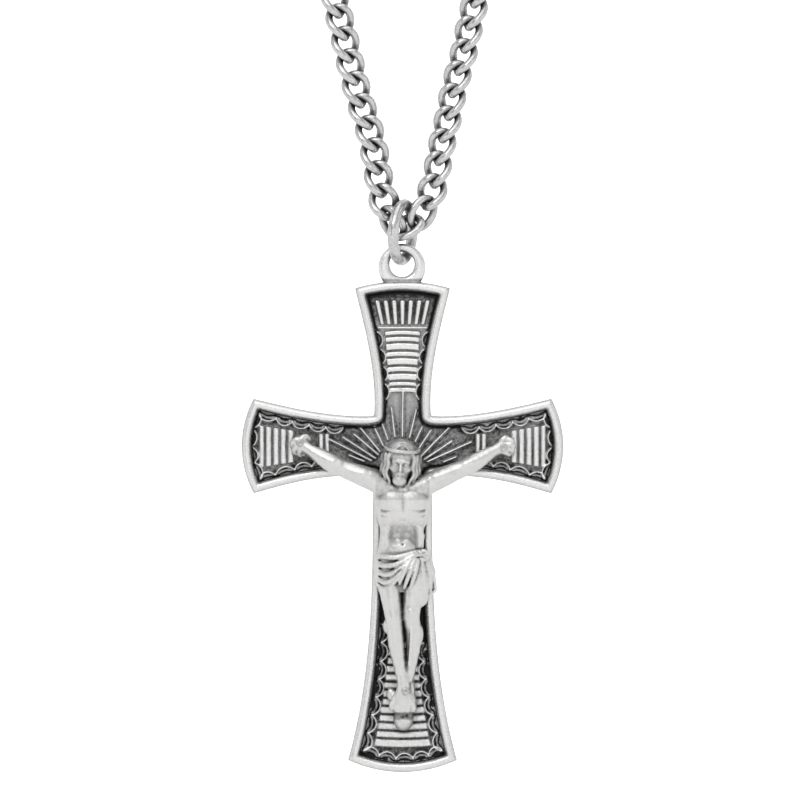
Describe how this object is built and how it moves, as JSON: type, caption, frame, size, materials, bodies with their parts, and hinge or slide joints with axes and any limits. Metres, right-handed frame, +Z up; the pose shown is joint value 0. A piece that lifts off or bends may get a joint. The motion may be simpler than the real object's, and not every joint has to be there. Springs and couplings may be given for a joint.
{
  "type": "crucifix pendant",
  "caption": "Flared-arm crucifix pendant with raised rim, rayed and ribbed recessed field and pinned figure, hung by its eye on a jump ring from a V of curb chain",
  "frame": {"origin": "crossing of the arms' centrelines, on the flat back face of the cross plate", "axes": "+X to the viewer's right along the side arms, +Y out of the back, +Z up the long arm; the front with the figure faces -Y"},
  "size_m": [0.031, 0.0072, 0.0774],
  "materials": {
    "antiqued_silver": "cast silver, oxidised dark in the recesses and polished bright on the high edges",
    "figure_silver": "cast silver, satin, light oxide in the folds",
    "bright_silver": "polished silver wire with a little grey in the joints"
  },
  "bodies": {
    "chain_link_left_01": {"chain_link_left_01": "bright_silver"},
    "chain_link_left_02": {"chain_link_left_02": "bright_silver"},
    "chain_link_left_03": {"chain_link_left_03": "bright_silver"},
    "chain_link_left_04": {"chain_link_left_04": "bright_silver"},
    "chain_link_left_05": {"chain_link_left_05": "bright_silver"},
    "chain_link_left_06": {"chain_link_left_06": "bright_silver"},
    "chain_link_left_07": {"chain_link_left_07": "bright_silver"},
    "chain_link_left_08": {"chain_link_left_08": "bright_silver"},
    "chain_link_left_09": {"chain_link_left_09": "bright_silver"},
    "chain_link_left_10": {"chain_link_left_10": "bright_silver"},
    "chain_link_left_11": {"chain_link_left_11": "bright_silver"},
    "chain_link_centre": {"chain_link_centre": "bright_silver"},
    "chain_link_right_11": {"chain_link_right_11": "bright_silver"},
    "chain_link_right_10": {"chain_link_right_10": "bright_silver"},
    "chain_link_right_09": {"chain_link_right_09": "bright_silver"},
    "chain_link_right_08": {"chain_link_right_08": "bright_silver"},
    "chain_link_right_07": {"chain_link_right_07": "bright_silver"},
    "chain_link_right_06": {"chain_link_right_06": "bright_silver"},
    "chain_link_right_05": {"chain_link_right_05": "bright_silver"},
    "chain_link_right_04": {"chain_link_right_04": "bright_silver"},
    "chain_link_right_03": {"chain_link_right_03": "bright_silver"},
    "chain_link_right_02": {"chain_link_right_02": "bright_silver"},
    "chain_link_right_01": {"chain_link_right_01": "bright_silver"},
    "jump_ring": {"jump_ring": "bright_silver"},
    "pendant": {"cross_body": "antiqued_silver", "corpus": "figure_silver", "pin_left_hand": "figure_silver", "pin_right_hand": "figure_silver", "pin_feet": "figure_silver"}
  },
  "joints": [
    {"name": "chain_link_left_02_rock", "type": "hinge", "parent": "chain_link_left_01", "child": "chain_link_left_02", "pos_m": [-0.00614, -0.00045, 0.04159], "axis": [0.2369, 0.9703, 0.0493], "range_deg": [-10, 10]},
    {"name": "chain_link_left_03_rock", "type": "hinge", "parent": "chain_link_left_02", "child": "chain_link_left_03", "pos_m": [-0.00558, -0.00045, 0.03943], "axis": [0.2345, 0.9703, 0.0595], "range_deg": [-10, 10]},
    {"name": "chain_link_left_04_rock", "type": "hinge", "parent": "chain_link_left_03", "child": "chain_link_left_04", "pos_m": [-0.00513, -0.00045, 0.03725], "axis": [0.2366, 0.9703, 0.0503], "range_deg": [-10, 10]},
    {"name": "chain_link_left_05_rock", "type": "hinge", "parent": "chain_link_left_04", "child": "chain_link_left_05", "pos_m": [-0.00457, -0.00045, 0.03509], "axis": [0.2347, 0.9703, 0.0585], "range_deg": [-10, 10]},
    {"name": "chain_link_left_06_rock", "type": "hinge", "parent": "chain_link_left_05", "child": "chain_link_left_06", "pos_m": [-0.00401, -0.00045, 0.03293], "axis": [0.2342, 0.9703, 0.0606], "range_deg": [-10, 10]},
    {"name": "chain_link_left_07_rock", "type": "hinge", "parent": "chain_link_left_06", "child": "chain_link_left_07", "pos_m": [-0.00323, -0.00045, 0.03084], "axis": [0.244, 0.9659, 0.0864], "range_deg": [-10, 10]},
    {"name": "chain_link_left_08_rock", "type": "hinge", "parent": "chain_link_left_07", "child": "chain_link_left_08", "pos_m": [-0.00271, -0.00045, 0.02867], "axis": [0.2669, 0.9613, 0.069], "range_deg": [-10, 10]},
    {"name": "chain_link_left_09_rock", "type": "hinge", "parent": "chain_link_left_08", "child": "chain_link_left_09", "pos_m": [-0.00238, -0.00045, 0.02647], "axis": [0.2966, 0.9537, 0.0496], "range_deg": [-10, 10]},
    {"name": "chain_link_left_10_rock", "type": "hinge", "parent": "chain_link_left_09", "child": "chain_link_left_10", "pos_m": [-0.00201, -0.00045, 0.02427], "axis": [0.3386, 0.9392, 0.057], "range_deg": [-10, 10]},
    {"name": "chain_link_left_11_rock", "type": "hinge", "parent": "chain_link_left_10", "child": "chain_link_left_11", "pos_m": [-0.00135, -0.00045, 0.02213], "axis": [0.5912, 0.7889, 0.1676], "range_deg": [-6, 10]},
    {"name": "chain_link_centre_rock", "type": "hinge", "parent": "chain_link_left_11", "child": "chain_link_centre", "pos_m": [-0.00018, -0.00045, 0.02023], "axis": [0.6206, -0.7031, 0.3472], "range_deg": [-8, 2]},
    {"name": "chain_link_right_11_rock", "type": "hinge", "parent": "chain_link_centre", "child": "chain_link_right_11", "pos_m": [0.00175, -0.00085, 0.02176], "axis": [-0.2808, 0.7157, 0.6395], "range_deg": [-2, 10]},
    {"name": "chain_link_right_10_rock", "type": "hinge", "parent": "chain_link_right_11", "child": "chain_link_right_10", "pos_m": [0.00265, -0.00067, 0.02385], "axis": [-0.7373, -0.5411, 0.4044], "range_deg": [-10, 10]},
    {"name": "chain_link_right_09_rock", "type": "hinge", "parent": "chain_link_right_10", "child": "chain_link_right_09", "pos_m": [0.00328, -0.00067, 0.02599], "axis": [-0.8543, -0.4353, 0.2841], "range_deg": [-10, 10]},
    {"name": "chain_link_right_08_rock", "type": "hinge", "parent": "chain_link_right_09", "child": "chain_link_right_08", "pos_m": [0.00362, -0.00067, 0.0282], "axis": [-0.965, -0.1953, 0.1753], "range_deg": [-10, 10]},
    {"name": "chain_link_right_07_rock", "type": "hinge", "parent": "chain_link_right_08", "child": "chain_link_right_07", "pos_m": [0.00405, -0.00067, 0.03039], "axis": [-0.9652, -0.1822, 0.1876], "range_deg": [-10, 10]},
    {"name": "chain_link_right_06_rock", "type": "hinge", "parent": "chain_link_right_07", "child": "chain_link_right_06", "pos_m": [0.00461, -0.00067, 0.03255], "axis": [-0.9556, -0.1736, 0.2382], "range_deg": [-10, 10]},
    {"name": "chain_link_right_05_rock", "type": "hinge", "parent": "chain_link_right_06", "child": "chain_link_right_05", "pos_m": [0.00498, -0.00067, 0.03475], "axis": [-0.9691, -0.1736, 0.1752], "range_deg": [-10, 10]},
    {"name": "chain_link_right_04_rock", "type": "hinge", "parent": "chain_link_right_05", "child": "chain_link_right_04", "pos_m": [0.00561, -0.00067, 0.03689], "axis": [-0.9501, -0.1736, 0.259], "range_deg": [-10, 10]},
    {"name": "chain_link_right_03_rock", "type": "hinge", "parent": "chain_link_right_04", "child": "chain_link_right_03", "pos_m": [0.00619, -0.00067, 0.03904], "axis": [-0.9501, -0.1736, 0.259], "range_deg": [-10, 10]},
    {"name": "chain_link_right_02_rock", "type": "hinge", "parent": "chain_link_right_03", "child": "chain_link_right_02", "pos_m": [0.00659, -0.00067, 0.04124], "axis": [-0.9667, -0.1736, 0.1879], "range_deg": [-10, 10]},
    {"name": "chain_link_right_01_rock", "type": "hinge", "parent": "chain_link_right_02", "child": "chain_link_right_01", "pos_m": [0.00712, -0.00067, 0.0434], "axis": [-0.9586, -0.1736, 0.2257], "range_deg": [-10, 10]},
    {"name": "jump_ring_swing", "type": "hinge", "parent": "chain_link_centre", "child": "jump_ring", "pos_m": [0.00034, -0.00085, 0.02114], "axis": [0.9374, -0.3412, -0.0698], "range_deg": [-12, 25]},
    {"name": "pendant_swing", "type": "hinge", "parent": "jump_ring", "child": "pendant", "pos_m": [-0.00014, -0.00084, 0.01796], "axis": [0.342, 0.9397, 0], "range_deg": [-35, 35]}
  ]
}
